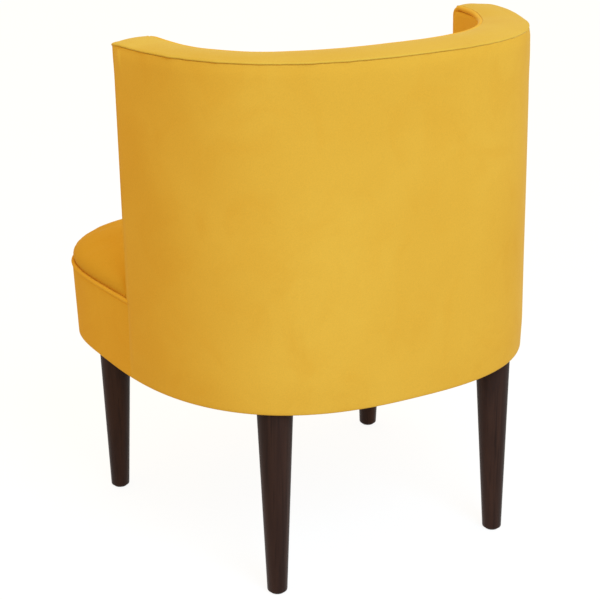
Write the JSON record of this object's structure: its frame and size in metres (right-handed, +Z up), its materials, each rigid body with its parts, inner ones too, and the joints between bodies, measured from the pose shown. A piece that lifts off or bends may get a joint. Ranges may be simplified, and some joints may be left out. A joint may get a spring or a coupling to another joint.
{
  "type": "slipper chair",
  "caption": "Upholstered slipper chair with a barrel-shaped back running into its arms, a crowned seat with a welted edge and turned tapering wooden legs.",
  "frame": {"origin": "on the floor, in the middle of the width and depth of the chair as a whole", "axes": "+Z up; -Y to the front of the seat, which is where a sitter faces; +X to the sitter's left"},
  "size_m": [0.6748, 0.5952, 0.805],
  "materials": {
    "velvet": "short-pile cotton velvet in mustard yellow, matt with a soft sheen at grazing angles",
    "leg_wood": "espresso stain under a satin lacquer",
    "frame_wood": "planed beech, unfinished",
    "fibreboard": "thin bent fibreboard, unfinished",
    "foam": "open-cell upholstery foam",
    "wadding": "bonded polyester wadding",
    "webbing": "woven upholstery webbing",
    "dust_cloth": "black non-woven lining",
    "steel": "zinc-plated steel",
    "nylon": "moulded nylon"
  },
  "bodies": {
    "root": {"leg_front_left": "leg_wood", "glide_front_left": "nylon", "hanger_bolt_front_left": "steel", "leg_insert_front_left": "steel", "leg_block_front_left": "frame_wood", "leg_front_right": "leg_wood", "glide_front_right": "nylon", "hanger_bolt_front_right": "steel", "leg_insert_front_right": "steel", "leg_block_front_right": "frame_wood", "leg_rear_left": "leg_wood", "glide_rear_left": "nylon", "hanger_bolt_rear_left": "steel", "leg_insert_rear_left": "steel", "leg_block_rear_left": "frame_wood", "leg_rear_right": "leg_wood", "glide_rear_right": "nylon", "hanger_bolt_rear_right": "steel", "leg_insert_rear_right": "steel", "leg_block_rear_right": "frame_wood", "seat_rail_front": "frame_wood", "seat_rail_right": "frame_wood", "seat_rail_left": "frame_wood", "seat_rail_rear": "frame_wood", "top_rail": "frame_wood", "arm_post_right": "frame_wood", "arm_post_left": "frame_wood", "corner_post_right": "frame_wood", "corner_post_left": "frame_wood", "back_post_right": "frame_wood", "back_post_left": "frame_wood", "outer_back_panel": "fibreboard", "inner_back_panel": "fibreboard", "outside_back_wadding": "wadding", "webbing_long_1": "webbing", "webbing_long_2": "webbing", "webbing_long_3": "webbing", "webbing_long_4": "webbing", "webbing_cross_1": "webbing", "webbing_cross_2": "webbing", "webbing_cross_3": "webbing", "dust_cloth": "dust_cloth", "inside_back_foam": "foam", "inside_back_cover": "velvet", "outside_back_cover": "velvet", "rim_pad": "foam", "rim_cover": "velvet", "arm_front_pad_right": "foam", "arm_front_cover_right": "velvet", "arm_front_pad_left": "foam", "arm_front_cover_left": "velvet", "seat_foam": "foam", "seat_cover": "velvet", "seat_band": "velvet", "seat_band_wadding": "wadding", "seat_welt": "velvet", "inner_welt": "velvet"}
  },
  "joints": []
}
